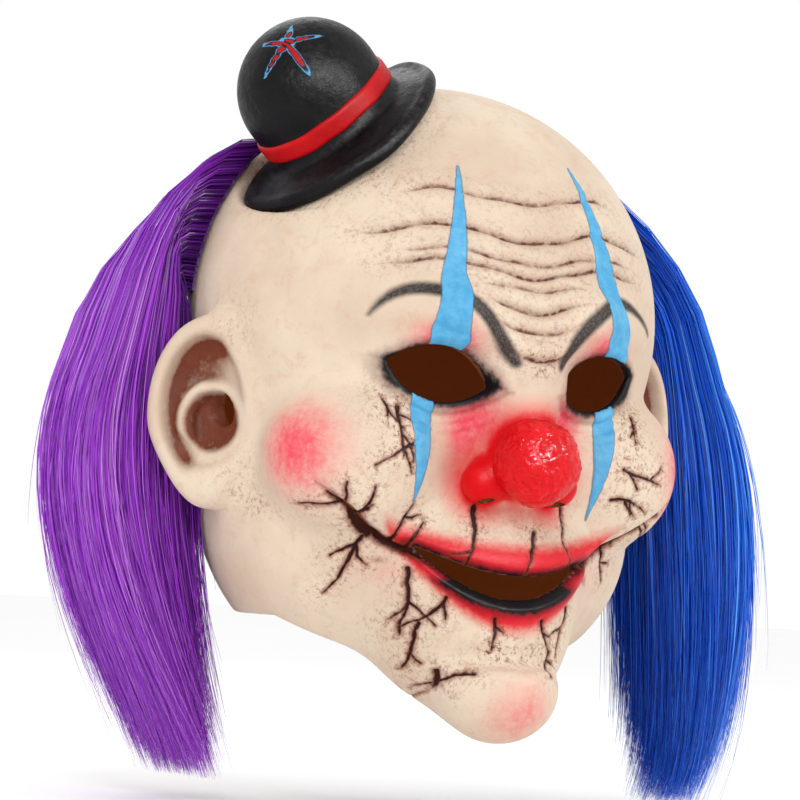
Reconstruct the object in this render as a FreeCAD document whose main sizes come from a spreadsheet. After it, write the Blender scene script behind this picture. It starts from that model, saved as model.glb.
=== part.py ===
import FreeCAD, Part
import os
import Sketcher

# A full-head latex clown mask with a small bowler hat and two tufts of sewn hair.
# Frame: millimetres, +Z up, the face looks along -Y, the wearer's right side is -X.
# The origin is the middle of the wearer's head, level with both ear holes.

doc = FreeCAD.newDocument("clown_mask")

# ---------------------------------------------------------------- driving dimensions
SIZES = {
    # latex
    "wall": 3.0,
    # the head's masses are balls that run into each other
    "skull_x": 0, "skull_y": 14, "skull_z": 44, "skull_r": 107,
    "nape_x": 0, "nape_y": 26, "nape_z": -20, "nape_r": 99,
    "jaw_x": 35, "jaw_y": 2, "jaw_z": -58, "jaw_r": 62,
    "throat_x": 0, "throat_y": -18, "throat_z": -61, "throat_r": 63,
    "muzzle_x": 6, "muzzle_y": -50, "muzzle_z": -66, "muzzle_r": 42,
    "lower_x": 5, "lower_y": -46, "lower_z": -98, "lower_r": 41,
    "chin_x": 0, "chin_y": -77, "chin_z": -121, "chin_r": 25,
    "cheek_x": 55, "cheek_y": -41, "cheek_z": -21, "cheek_r": 43,
    # nose: the moulded bridge and wings, and the glued ball
    "bridge_y": -77, "bridge_z": -12, "bridge_r": 22,
    "wing_x": 17, "wing_y": -90, "wing_z": -30, "wing_r": 11,
    "nostril_r": 3.6, "nostril_depth": 14,
    "ball_y": -104, "ball_z": -19, "ball_r": 19.5,
    # ears: dished ovals, flared off the side of the head
    "ear_x": 109, "ear_y": 6, "ear_z": -3, "ear_flare": 45,
    "ear_thick": 8, "ear_half_width": 24, "ear_half_height": 38,
    "dish_depth": 5, "dish_half_width": 16, "dish_half_height": 29,
    "ear_hole_r": 7, "ear_hole_y": 2,
    # eye holes and mouth slit
    "eye_x": 39, "eye_z": 17, "eye_half": 22, "eye_up": 12, "eye_down": 12, "eye_tilt": 13,
    "mouth_x": -4, "mouth_z": -60, "mouth_half": 39, "mouth_upper": 9, "mouth_lower": 23,
    "cut_reach": 90,
    # neck edge: a cylinder across the head trims the lower rim in an arc, which ends in a level rim behind
    "neck_y": 55, "neck_z": -216.7, "neck_r": 141.7, "rim_z": -92,
    # hat, along its own axis, which stands square on the scalp
    "hat_x": -57, "hat_y": -6, "hat_z": 127.4, "hat_brim_r": 50, "hat_brim_drop": 5,
    "hat_edge_r": 3.6, "hat_crown_r": 33, "hat_top_r": 31, "hat_height": 55, "hat_wall": 2.5,
    "band_low": 5, "band_height": 9, "band_thick": 1.2,
    # hair: weft tapes on the scalp, and locks that fall from them
    "tape_thick": 1.0, "tape_width": 6, "tape_low": 52, "tape_high": 122, "tape_x": 64,
    "purple_hinge_x": -124, "purple_first_y": 39.5, "purple_pitch": 20, "purple_half": 9.4,
    "blue_hinge_x": 150, "blue_first_y": 36, "blue_pitch": 15, "blue_half": 6.9,
    "hinge_z": 34, "hinge_r": 16, "hinge_gap": 0.8,
}

sheet = doc.addObject("Spreadsheet::Sheet", "Sizes")
for row, (alias, value) in enumerate(SIZES.items(), start=1):
    sheet.set(f"A{row}", alias)
    sheet.set(f"B{row}", str(value))
    sheet.setAlias(f"B{row}", alias)
doc.recompute()


def size(alias):
    """A driving dimension, read back from the sheet."""
    return float(sheet.get(alias))


def bind(obj, **properties):
    """Ties properties of an object to expressions in the sheet's aliases."""
    for name, expression in properties.items():
        obj.setExpression(name.replace("__", "."), expression)
    return obj


def cell(expression):
    """An expression with every alias in it given the sheet's name."""
    words = sorted(SIZES, key=len, reverse=True)
    out, i = "", 0
    while i < len(expression):
        boundary = i == 0 or not (expression[i - 1].isalnum() or expression[i - 1] in "_.")
        word = next((w for w in words if boundary and expression.startswith(w, i)), None)
        after = expression[i + len(word):i + len(word) + 1] if word else ""
        if word and not (after.isalnum() or after == "_"):
            out += "Sizes." + word
            i += len(word)
        else:
            out += expression[i]
            i += 1
    return out


def place(obj, x="0", y="0", z="0"):
    """Ties an object's position to the sheet."""
    bind(obj, Placement__Base__x=cell(x), Placement__Base__y=cell(y), Placement__Base__z=cell(z))
    return obj


def turned(obj, rotation):
    """Sets an object's rotation and keeps its place."""
    obj.Placement = FreeCAD.Placement(obj.Placement.Base, rotation)
    return obj


def ball(name, centre, radius):
    """A Part sphere: its centre and radius are expressions."""
    obj = doc.addObject("Part::Sphere", name)
    bind(obj, Radius=cell(radius))
    return place(obj, *centre)


def rod(name, start, direction, radius, length):
    """A Part cylinder from a start point along a direction; start, radius and length are expressions."""
    obj = doc.addObject("Part::Cylinder", name)
    bind(obj, Radius=cell(radius), Height=cell(length))
    turned(obj, FreeCAD.Rotation(FreeCAD.Vector(0, 0, 1), FreeCAD.Vector(*direction)))
    return place(obj, *start)


def fuse(name, *objects):
    obj = doc.addObject("Part::MultiFuse", name)
    obj.Shapes = list(objects)
    return obj


def cut(name, base, tool):
    obj = doc.addObject("Part::Cut", name)
    obj.Base, obj.Tool = base, tool
    return obj


def common(name, *objects):
    obj = doc.addObject("Part::MultiCommon", name)
    obj.Shapes = list(objects)
    return obj


def origin_plane(body, role):
    return next(f for f in body.Origin.OriginFeatures if f.Role == role)


def new_sketch(body, name, role="XY_Plane"):
    sketch = body.newObject("Sketcher::SketchObject", name)
    sketch.AttachmentSupport = [(origin_plane(body, role), "")]
    sketch.MapMode = "FlatFace"
    return sketch


parts = {}


def keep(label, obj):
    """Names a finished sub-part, and so its file."""
    obj.Label = label
    parts[label] = obj
    return obj


# ---------------------------------------------------------------- head_skin
def lens_cutter(name, half, upper, lower, centre, tilt=0.0):
    """A prism between two arcs that share their ends: an almond, or a crescent if both bulge one way."""
    body = doc.addObject("PartDesign::Body", name)
    sketch = new_sketch(body, name + "_outline")
    h = size(half)
    left, right = FreeCAD.Vector(-h, 0, 0), FreeCAD.Vector(h, 0, 0)
    for alias, way in (upper, lower):
        rise = size(alias) * way
        arc = sketch.addGeometry(Part.ArcOfCircle(left, FreeCAD.Vector(0, rise, 0), right), False)
        start_is_left = sketch.getPoint(arc, 1).x < 0
        for point, is_left in ((1, start_is_left), (2, not start_is_left)):
            sketch.addConstraint(Sketcher.Constraint("PointOnObject", arc, point, -1))
            first, second = ((arc, point), (-1, 1)) if is_left else ((-1, 1), (arc, point))
            across = sketch.addConstraint(Sketcher.Constraint("DistanceX", *first, *second, h))
            sketch.setExpression(f"Constraints[{across}]", f"Sizes.{half}")
        radius = (h ** 2 + rise ** 2) / (2 * abs(rise))
        round_ = sketch.addConstraint(Sketcher.Constraint("Radius", arc, radius))
        sketch.setExpression(
            f"Constraints[{round_}]",
            f"(Sizes.{half}^2 + Sizes.{alias}^2) / (2 * Sizes.{alias})",
        )
    doc.recompute()
    pad = body.newObject("PartDesign::Pad", name + "_pad")
    pad.Profile = sketch
    pad.setExpression("Length", "Sizes.cut_reach")
    facing = FreeCAD.Rotation(FreeCAD.Vector(1, 0, 0), 90)
    lean = FreeCAD.Rotation(FreeCAD.Vector(0, 1, 0), tilt)
    turned(body, lean.multiply(facing))
    return place(body, *centre)


MIRROR = {"right": "-", "left": ""}
SIGN = {"right": -1, "left": 1}


def solid_head(name, shrink):
    """The head's masses; shrink is the expression taken off every radius."""
    masses = [
        ball(f"{name}_{mass}", (f"{mass}_x", f"{mass}_y", f"{mass}_z"), f"{mass}_r - {shrink}")
        for mass in ("skull", "nape", "throat", "chin")
    ]
    for side, minus in MIRROR.items():
        masses += [
            ball(f"{name}_{mass}_{side}", (f"{minus}{mass}_x", f"{mass}_y", f"{mass}_z"), f"{mass}_r - {shrink}")
            for mass in ("jaw", "muzzle", "lower", "cheek")
        ]
    return masses


def nose_masses(name):
    """The bridge and both wings of the nose."""
    return [ball(f"{name}_bridge", ("0", "bridge_y", "bridge_z"), "bridge_r")] + [
        ball(f"{name}_wing_{side}", (f"{minus}wing_x", "wing_y", "wing_z"), "wing_r")
        for side, minus in MIRROR.items()
    ]


def oval(body, name, half_width, half_height):
    """A sketch of an upright oval on the body's own XY plane."""
    sketch = new_sketch(body, name)
    shape = Part.Ellipse(FreeCAD.Vector(0, size(half_height), 0), FreeCAD.Vector(size(half_width), 0, 0),
                         FreeCAD.Vector(0, 0, 0))
    sketch.addGeometry(shape, False)
    sketch.exposeInternalGeometry(0)
    for alias, line in ((half_height, 1), (half_width, 2)):
        length = sketch.addConstraint(Sketcher.Constraint("Distance", line, 2 * size(alias)))
        sketch.setExpression(f"Constraints[{length}]", f"2 * Sizes.{alias}")
    return sketch


def ear(side):
    """A dished oval plate, flared off the head, with rounded edges."""
    body = doc.addObject("PartDesign::Body", f"ear_{side}")
    plate = body.newObject("PartDesign::Pad", f"ear_plate_{side}")
    plate.Profile = oval(body, f"ear_outline_{side}", "ear_half_width", "ear_half_height")
    plate.setExpression("Length", "Sizes.ear_thick")
    doc.recompute()
    dish = body.newObject("PartDesign::Pocket", f"ear_dish_{side}")
    outline = oval(body, f"ear_dish_outline_{side}", "dish_half_width", "dish_half_height")
    outline.setExpression("AttachmentOffset.Base.z", "Sizes.ear_thick")
    dish.Profile = outline
    dish.setExpression("Length", "Sizes.dish_depth")
    doc.recompute()
    flare = size("ear_flare")
    toward_front = FreeCAD.Rotation(FreeCAD.Vector(0, 0, 1), SIGN[side] * (90 - flare))
    upright = FreeCAD.Rotation(FreeCAD.Vector(1, 0, 0), FreeCAD.Vector(0, 0, 1), FreeCAD.Vector(0, -1, 0), "ZXY")
    turned(body, toward_front.multiply(upright))
    return place(body, f"{MIRROR[side]}ear_x", "ear_y", "ear_z")


outside = fuse("head_outside", *solid_head("outer", "0"), *nose_masses("nose"), *[ear(side) for side in MIRROR])
inside = fuse("head_inside", *solid_head("inner", "wall"))

neck_arc = doc.addObject("Part::Cylinder", "neck_arc")
bind(neck_arc, Radius="Sizes.neck_r")
neck_arc.Height = 400
turned(neck_arc, FreeCAD.Rotation(FreeCAD.Vector(0, 1, 0), 90))
place(neck_arc, "-200", "neck_y", "neck_z")
below_rim = doc.addObject("Part::Box", "below_rim")
below_rim.Length = 400
below_rim.Width = 400
below_rim.Height = 400
place(below_rim, "-200", "-200", "rim_z - 400")
neck_trim = common("neck_trim", neck_arc, below_rim)

eye_holes = [
    lens_cutter(f"eye_cutter_{side}", "eye_half", ("eye_up", 1), ("eye_down", -1),
                (f"{m}eye_x", "-40", "eye_z"), -SIGN[side] * size("eye_tilt"))
    for side, m in MIRROR.items()
]
mouth_hole = lens_cutter("mouth_cutter", "mouth_half", ("mouth_upper", -1), ("mouth_lower", -1),
                         ("mouth_x", "-40", "mouth_z"))
ear_holes = [
    rod(f"ear_hole_{side}", (f"{m}85", "ear_hole_y", "0"), (SIGN[side], 0, 0), "ear_hole_r", "60")
    for side, m in MIRROR.items()
]
nostrils = [
    rod(f"nostril_{side}", (f"{m}wing_x", "wing_y - 5", "wing_z - wing_r"), (0, 0, 1), "nostril_r", "nostril_depth")
    for side, m in MIRROR.items()
]
openings = fuse("head_openings", neck_trim, mouth_hole, *eye_holes, *ear_holes, *nostrils)
head_walls = cut("head_walls", outside, inside)
head_skin = keep("head_skin", cut("head_skin", head_walls, openings))

# ---------------------------------------------------------------- nose_ball
nose_seat = fuse("nose_seat", *solid_head("seat", "0"), *nose_masses("seat_nose"))
keep("nose_ball", cut("nose_ball", ball("nose_round", ("0", "ball_y", "ball_z"), "ball_r"), nose_seat))


# ---------------------------------------------------------------- hat_shell and hat_band
def scalp(name, grow):
    """The bald dome, grown outward by an expression, as a tool for what is glued to it."""
    return ball(name, ("0", "skull_y", "skull_z"), f"skull_r + {grow}")


def hat_placement():
    """The hat stands square on the dome, so its axis runs from the dome's centre."""
    at = FreeCAD.Vector(size("hat_x"), size("hat_y"), size("hat_z"))
    dome = FreeCAD.Vector(0, size("skull_y"), size("skull_z"))
    return FreeCAD.Placement(at, FreeCAD.Rotation(FreeCAD.Vector(0, 0, 1), at - dome))


def revolved(name, corners):
    """A body revolved about its own Z axis from a closed outline of (radius, height, bulge) corners.
    Bulge is None for a straight side to the next corner, or the point that an arc passes through."""
    body = doc.addObject("PartDesign::Body", name)
    sketch = new_sketch(body, name + "_outline", "XZ_Plane")
    count = len(corners)
    for i, (r, z, through) in enumerate(corners):
        start = FreeCAD.Vector(r, z, 0)
        end = FreeCAD.Vector(*corners[(i + 1) % count][:2], 0)
        if through:
            sketch.addGeometry(Part.ArcOfCircle(start, FreeCAD.Vector(*through, 0), end), False)
        else:
            sketch.addGeometry(Part.LineSegment(start, end), False)
    doc.recompute()
    turn = body.newObject("PartDesign::Revolution", name + "_turn")
    turn.Profile = sketch
    turn.ReferenceAxis = (sketch, ["V_Axis"])
    turn.Angle = 360
    return body


def hat_outline():
    """Outside of the hat from the brim's edge up to the crown's top, and back down the inside."""
    brim, drop, edge = size("hat_brim_r"), size("hat_brim_drop"), size("hat_edge_r")
    crown, top_r, height, wall = (size("hat_" + k) for k in ("crown_r", "top_r", "height", "wall"))
    shoulder = height - top_r
    diagonal = 0.5 ** 0.5
    inner = top_r - wall
    return [
        (crown, 4, None),
        (top_r, shoulder, (top_r * diagonal, shoulder + top_r * diagonal)),
        (0, height, None),
        (0, height - wall, (inner * diagonal, shoulder + inner * diagonal)),
        (inner, shoulder, None),
        (crown - wall, 0.5, None),
        (crown, 0, None),
        (brim - edge, -drop - edge, (brim, -drop)),
        (brim - edge, -drop + edge, None),
    ]


hat_block = revolved("hat_block", hat_outline())
hat_block.Placement = hat_placement()
keep("hat_shell", cut("hat_shell", hat_block, scalp("scalp_under_hat", "0")))


def band_outline():
    """The ribbon's section: it lies against the crown's outside."""
    crown, low, tall, thick = size("hat_crown_r"), size("band_low"), size("band_height"), size("band_thick")

    shoulder = size("hat_height") - size("hat_top_r")

    def wall_r(z):
        return crown - (crown - size("hat_top_r")) * (z - 4) / (shoulder - 4)

    return [
        (wall_r(low), low, None),
        (wall_r(low) + thick, low, None),
        (wall_r(low + tall) + thick, low + tall, None),
        (wall_r(low + tall), low + tall, None),
    ]


hat_band = keep("hat_band", revolved("hat_band", band_outline()))
hat_band.Placement = hat_placement()


# The hair that passes behind the hat stops short of its brim.
hat_room = doc.addObject("Part::Cylinder", "hat_room")
bind(hat_room, Radius="Sizes.hat_brim_r + 1.5")
hat_room.Height = 40
hat_room.Placement = hat_placement().multiply(FreeCAD.Placement(FreeCAD.Vector(0, 0, -12), FreeCAD.Rotation()))


# ---------------------------------------------------------------- hair
def ring(name, centre, major, minor):
    """A level ellipse: its long radius lies across the head, its short one fore and aft."""
    obj = doc.addObject("Part::Ellipse", name)
    bind(obj, MajorRadius=cell(major), MinorRadius=cell(minor))
    return place(obj, *centre)


def loft(name, sections):
    obj = doc.addObject("Part::Loft", name)
    obj.Sections, obj.Solid, obj.Ruled = sections, True, False
    return obj


def hinge_barrel(name, colour, y, half, grow="0"):
    """A cylinder on the line that a lock swings about."""
    obj = doc.addObject("Part::Cylinder", name)
    bind(obj, Radius=cell(f"hinge_r + {grow}"), Height=cell(f"2 * ({half})"))
    turned(obj, FreeCAD.Rotation(FreeCAD.Vector(1, 0, 0), -90))
    return place(obj, f"{colour}_hinge_x", f"{y} - ({half})", "hinge_z")


OUT = {"purple": "-", "blue": "+"}
OUTWARD = {"purple": -1, "blue": 1}

# Each root's outline across the head, as (alias, offset) outward and upward.
ROOT_OUTLINE = (
    (("tape_x", 0), ("tape_high", 3)),
    (("hinge_out", 7), ("hinge_z", 16.5)),
    (("hinge_out", -18), ("hinge_z", 2)),
    (("tape_x", 24), ("tape_low", 0)),
)


def root_block(name, colour, y, half):
    """A slab of hair that arches from the scalp out to the hinge."""
    body = doc.addObject("PartDesign::Body", name)
    sketch = new_sketch(body, name + "_outline", "XZ_Plane")
    way = OUTWARD[colour]
    hinge = f"{colour}_hinge_x"
    minus = "-" if colour == "purple" else ""

    def spot(across, up):
        reach = abs(size(hinge)) if across[0] == "hinge_out" else size(across[0])
        return FreeCAD.Vector(way * (reach + across[1]), size(up[0]) + up[1], 0)

    corners = [spot(*pair) for pair in ROOT_OUTLINE]
    top = (corners[0] + corners[1]) * 0.5 + FreeCAD.Vector(way * 15, 15, 0)
    arc = sketch.addGeometry(Part.ArcOfCircle(corners[0], top, corners[1]), False)
    lines = [sketch.addGeometry(Part.LineSegment(corners[i], corners[(i + 1) % 4]), False) for i in (1, 2, 3)]
    radius = sketch.Geometry[arc].Radius
    sketch.addConstraint(Sketcher.Constraint("Radius", arc, radius))
    for before, after in zip(lines, lines[1:]):
        sketch.addConstraint(Sketcher.Constraint("Coincident", before, 2, after, 1))
    for near, line, point in ((corners[0], lines[-1], 2), (corners[1], lines[0], 1)):
        arc_end = 1 if sketch.getPoint(arc, 1).distanceToPoint(near) < 0.01 else 2
        sketch.addConstraint(Sketcher.Constraint("Coincident", arc, arc_end, line, point))
    for line, (across, up) in zip((lines[0], lines[1], lines[2]), ROOT_OUTLINE[1:]):
        at = sketch.getPoint(line, 1)
        ends = ((-1, 1), (line, 1)) if way > 0 else ((line, 1), (-1, 1))
        reach = hinge if across[0] == "hinge_out" else across[0]
        side = minus if across[0] == "hinge_out" else ""
        n = sketch.addConstraint(Sketcher.Constraint("DistanceX", *ends[0], *ends[1], abs(at.x)))
        sketch.setExpression(f"Constraints[{n}]", f"{side}Sizes.{reach} + {across[1]}")
        n = sketch.addConstraint(Sketcher.Constraint("DistanceY", -1, 1, line, 1, at.y))
        sketch.setExpression(f"Constraints[{n}]", f"Sizes.{up[0]} + {up[1]}")
    doc.recompute()
    pad = body.newObject("PartDesign::Pad", name + "_pad")
    pad.Profile = sketch
    pad.setExpression("Length", "2 * Sizes." + half)
    return place(body, "0", f"{y} + {half}", "0")


# Each fall's sections: height, shift of the middle outward from the hinge, half width across.
FALLS = {
    "purple": ((8, 1, 21.5), (-20, 3.5, 26), (-62, 1, 26), (-112, -8, 21.5), (-150, -15, 12), (-166, -18, 5)),
    "blue": ((8, 0, 22), (-20, 6.5, 27.5), (-62, 8.5, 29.5), (-112, 5.5, 28.5), (-150, 2, 20), (-166, 0, 10)),
}
ROWS = ("front", "mid", "rear")

for colour in FALLS:
    for index, row in enumerate(ROWS):
        tag = f"{colour}_{row}"
        middle = f"({colour}_first_y + {index} * {colour}_pitch)"
        half = f"{colour}_half"
        out = OUT[colour]

        # The sewn tape, glued to the scalp in an arc.
        strip = doc.addObject("Part::Box", f"{tag}_strip")
        bind(strip, Width="Sizes.tape_width", Height=cell("tape_high - tape_low"))
        strip.Length = 120
        place(strip, "-120" if colour == "purple" else "0", f"{middle} - tape_width / 2", "tape_low")
        skin_of_tape = cut(f"{tag}_tape_skin", scalp(f"{tag}_tape_out", "tape_thick"), scalp(f"{tag}_tape_in", "0"))
        tape = common(f"{tag}_tape", skin_of_tape, strip)
        beside_hat = tag == "purple_front"
        if beside_hat:
            tape = cut(f"{tag}_tape_trimmed", tape, hat_room)
        keep(f"{colour}_weft_tape_{row}", tape)

        # The fixed root of the lock, from the tape out to the bend.
        root = root_block(f"{tag}_root_block", colour, middle, half)
        clearance = fuse(
            f"{tag}_root_clear",
            scalp(f"{tag}_root_scalp", "tape_thick"),
            hinge_barrel(f"{tag}_root_gap", colour, middle, f"{half} + 2", "hinge_gap"),
            *([hat_room] if beside_hat else []),
        )
        keep(f"{colour}_hair_root_{row}", cut(f"{tag}_root", root, clearance))

        # The fall, which swings out from the head.
        sections = [ring(f"{tag}_fall_0", (f"{colour}_hinge_x", middle, "hinge_z"), "hinge_r - 0.05", f"{half} * 0.92")]
        for n, (z, shift, across) in enumerate(FALLS[colour], start=1):
            fullness = 0.92 if z > -150 else 0.6 if z > -166 else 0.4
            depth = f"{half} * {fullness}"
            sections.append(
                ring(f"{tag}_fall_{n}", (f"{colour}_hinge_x {out} ({shift})", middle, str(z)), str(across), depth)
            )
        barrel = hinge_barrel(f"{tag}_barrel", colour, middle, half)
        keep(f"{colour}_hair_fall_{row}", fuse(f"{tag}_fall", barrel, loft(f"{tag}_fall_loft", sections)))

doc.recompute()

# ---------------------------------------------------------------- checks and files
for obj in doc.Objects:
    bad = [s for s in obj.State if s in ("Invalid", "Error")]
    if bad:
        raise SystemExit(f"{obj.Name} ({obj.Label}) is {bad}")
for label, obj in parts.items():
    shape = obj.Shape
    if shape.isNull() or not shape.isValid() or not shape.Solids:
        raise SystemExit(f"{label}: null {shape.isNull()}, valid {shape.isValid()}, solids {len(shape.Solids)}")
    print(label, [(round(s.Volume), [round(v) for v in s.CenterOfMass]) for s in shape.Solids])

os.makedirs("parts", exist_ok=True)
for label, obj in parts.items():
    obj.Shape.exportStep(f"parts/{label}.step")
    saved = Part.Shape()
    saved.read(f"parts/{label}.step")
    if not saved.isValid() or len(saved.Solids) != 1:
        raise SystemExit(f"{label}.step reads back with valid {saved.isValid()}, solids {len(saved.Solids)}")
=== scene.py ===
"""A full-head latex clown mask: moulded skin, ball nose, small bowler hat and two tufts of hair."""
import bmesh
import bpy
import math
import numpy as np
from mathutils import Matrix, Vector


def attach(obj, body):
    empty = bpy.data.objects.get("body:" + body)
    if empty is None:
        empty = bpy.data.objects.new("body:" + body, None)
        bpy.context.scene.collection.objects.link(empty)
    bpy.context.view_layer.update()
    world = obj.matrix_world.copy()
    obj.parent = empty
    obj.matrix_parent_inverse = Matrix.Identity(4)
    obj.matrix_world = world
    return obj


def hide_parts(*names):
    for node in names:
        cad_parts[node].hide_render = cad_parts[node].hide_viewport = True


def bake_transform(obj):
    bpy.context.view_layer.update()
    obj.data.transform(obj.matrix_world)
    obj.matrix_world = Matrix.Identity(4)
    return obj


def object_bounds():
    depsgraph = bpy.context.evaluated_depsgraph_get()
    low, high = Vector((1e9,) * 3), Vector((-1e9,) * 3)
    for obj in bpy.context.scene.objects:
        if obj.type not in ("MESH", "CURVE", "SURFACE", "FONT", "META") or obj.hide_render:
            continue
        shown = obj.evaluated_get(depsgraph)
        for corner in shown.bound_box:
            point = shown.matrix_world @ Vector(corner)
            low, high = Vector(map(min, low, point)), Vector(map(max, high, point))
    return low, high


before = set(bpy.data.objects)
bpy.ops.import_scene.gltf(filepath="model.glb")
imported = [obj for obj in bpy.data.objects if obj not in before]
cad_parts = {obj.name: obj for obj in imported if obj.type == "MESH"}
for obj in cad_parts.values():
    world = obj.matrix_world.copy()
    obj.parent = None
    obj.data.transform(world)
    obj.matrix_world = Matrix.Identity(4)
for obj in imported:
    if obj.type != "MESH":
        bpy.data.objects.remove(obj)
cad_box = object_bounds()
rng = np.random.default_rng(7)
MM = 0.001


# ---------------------------------------------------------------- small helpers
def rgb(r, g, b):
    """A screen colour as linear values."""
    shares = [c / 255 for c in (r, g, b)]
    return tuple(c / 12.92 if c <= 0.04 else ((c + 0.055) / 1.055) ** 2.4 for c in shares) + (1.0,)


def new_object(name, verts_mm, faces, smooth=True):
    mesh = bpy.data.meshes.new(name)
    mesh.from_pydata(np.asarray(verts_mm) * MM, [], faces)
    mesh.update()
    obj = bpy.data.objects.new(name, mesh)
    bpy.context.collection.objects.link(obj)
    if smooth:
        mesh.polygons.foreach_set("use_smooth", [True] * len(mesh.polygons))
    return obj


def positions(mesh):
    """A mesh's vertices in millimetres."""
    flat = np.empty(len(mesh.vertices) * 3)
    mesh.vertices.foreach_get("co", flat)
    return flat.reshape(-1, 3) / MM


def set_positions(mesh, points):
    mesh.vertices.foreach_set("co", (points * MM).ravel())
    mesh.update()


def store(mesh, name, values):
    """One number per vertex, for the material to read."""
    layer = mesh.attributes.new(name, "FLOAT", "POINT")
    layer.data.foreach_set("value", np.asarray(values, dtype=np.float32))


def smooth_step(x, low, high):
    t = np.clip((x - low) / (high - low), 0, 1)
    return t * t * (3 - 2 * t)


def bump(x, width):
    return np.exp(-(x / width) ** 2)


# ---------------------------------------------------------------- solid fields, all in millimetres
def ellipsoid(p, centre, radii):
    q = p - np.asarray(centre, dtype=float)
    r = np.asarray(radii, dtype=float)
    k0 = np.sqrt(((q / r) ** 2).sum(-1))
    k1 = np.sqrt(((q / r ** 2) ** 2).sum(-1)) + 1e-9
    return k0 * (k0 - 1) / k1


def capsule(p, a, b, ra, rb):
    """A rod with round ends whose radius runs from ra to rb."""
    a, b = np.asarray(a, dtype=float), np.asarray(b, dtype=float)
    ab = b - a
    t = np.clip(((p - a) @ ab) / (ab @ ab), 0, 1)
    return np.linalg.norm(p - a - t[..., None] * ab, axis=-1) - (ra + (rb - ra) * t)


def join(a, b, k):
    """Smooth union."""
    mix = np.maximum(k - np.abs(a - b), 0) / k
    return np.minimum(a, b) - mix * mix * k / 4


def carve(a, b, k):
    """Smooth subtraction of b from a."""
    return -join(-a, b, k)


def mirrored(p):
    """The same points, folded onto the wearer's left side."""
    q = p.copy()
    q[..., 0] = np.abs(q[..., 0])
    return q


MASSES = (
    # centre, radii, softness of its joint with the rest
    ((0, 26, -20), (99, 99, 99), 20),
    ((0, 2, -56), (96, 72, 68), 22),
    ((0, -48, -64), (50, 44, 42), 14),
    ((0, -45, -94), (46, 43, 42), 14),
    ((0, -77, -119), (27, 26, 24), 12),
)
SKULL, SKULL_R = np.array([0.0, 14.0, 44.0]), 107.0
CHEEK, CHEEK_RADII, CHEEK_SOFT = (56, -41, -20), (43, 44, 39), 9


def hat_frame(base, lean, back):
    """The hat's own directions, as columns: across, rearward and up. Square on the scalp, then leaned."""
    up = (base - SKULL) / np.linalg.norm(base - SKULL)
    side = np.cross([0, 1, 0], up)
    side /= np.linalg.norm(side)
    up, side = up * math.cos(lean) - side * math.sin(lean), side * math.cos(lean) + up * math.sin(lean)
    rear = np.cross(up, side)
    up, rear = up * math.cos(back) + rear * math.sin(back), rear * math.cos(back) - up * math.sin(back)
    return np.stack([side, rear, up], 1)


HAT_BASE, HAT_LIFT = np.array([-57.0, -6.0, 127.4]), 1.0
HAT_LEAN_OUT, HAT_LEAN_BACK = math.radians(10), math.radians(9)
HAT_FRAME = hat_frame(HAT_BASE, HAT_LEAN_OUT, HAT_LEAN_BACK)
HAT = HAT_BASE + HAT_LIFT * HAT_FRAME[:, 2]
EYE = np.array([39.0, 0.0, 17.0])
EYE_HALF, EYE_UP, EYE_DOWN, EYE_TILT = 22.0, 12.0, 12.0, math.radians(13)


def base_head(p):
    """The plain head, without ears or small features."""
    d = np.linalg.norm(p - SKULL, axis=-1) - SKULL_R
    for centre, radii, soft in MASSES:
        d = join(d, ellipsoid(p, centre, radii), soft)
    return join(d, ellipsoid(mirrored(p), CHEEK, CHEEK_RADII), CHEEK_SOFT)


def eye_plane(p):
    """Distance outside an eye's almond outline, seen from the front; negative inside it."""
    q = mirrored(p)
    u = (q[..., 0] - EYE[0]) * math.cos(EYE_TILT) + (q[..., 2] - EYE[2]) * math.sin(EYE_TILT)
    v = (q[..., 2] - EYE[2]) * math.cos(EYE_TILT) - (q[..., 0] - EYE[0]) * math.sin(EYE_TILT)

    def arc(height, sign):
        radius = (EYE_HALF ** 2 + height ** 2) / (2 * height)
        return np.hypot(u, v - sign * (height - radius)) - radius

    return np.maximum(arc(EYE_UP, 1), arc(EYE_DOWN, -1))


def grin(x):
    """Height of the line that the lips meet on."""
    return -70.5 + 0.0048 * x ** 2


MOUTH_X, MOUTH_HALF = -4.0, 39.0


def mouth_plane(p):
    """Distance outside the mouth slit, seen from the front."""
    x = p[..., 0] - MOUTH_X
    z = p[..., 2] + 0.06 * x
    reach = np.clip(1 - (x / MOUTH_HALF) ** 2, 0, 1)
    middle = -60.5 - 14 * reach
    half = 5.2 * reach ** 0.75
    return np.maximum(np.abs(z - middle) - half, (np.abs(x) - MOUTH_HALF) * 0.7)


NECK_ARC_Y, NECK_ARC_Z, NECK_ARC_R, NECK_RIM_Z = 55.0, -216.7, 141.7, -92.0


def neck_edge(p):
    """Positive below the neck edge: an arc under the jaw, then a level rim behind."""
    under_arc = NECK_ARC_R - np.hypot(p[..., 1] - NECK_ARC_Y, p[..., 2] - NECK_ARC_Z)
    return np.minimum(under_arc, NECK_RIM_Z - p[..., 2])


EAR = np.array([109.0, 6.0, -3.0])
EAR_FLARE, LEFT_EAR_FLARE = math.radians(45), math.radians(58)


def ear_frame(p):
    """Points seen from the ear: out from its plate, back across it, and up. The left ear flares more."""
    q = mirrored(p) - EAR
    flare = np.where(p[..., 0] > 0, LEFT_EAR_FLARE, EAR_FLARE)
    c, s = np.cos(flare), np.sin(flare)
    out = q[..., 0] * c - q[..., 1] * s
    back = q[..., 0] * s + q[..., 1] * c
    return np.stack([out, back, q[..., 2]], -1)


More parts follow.
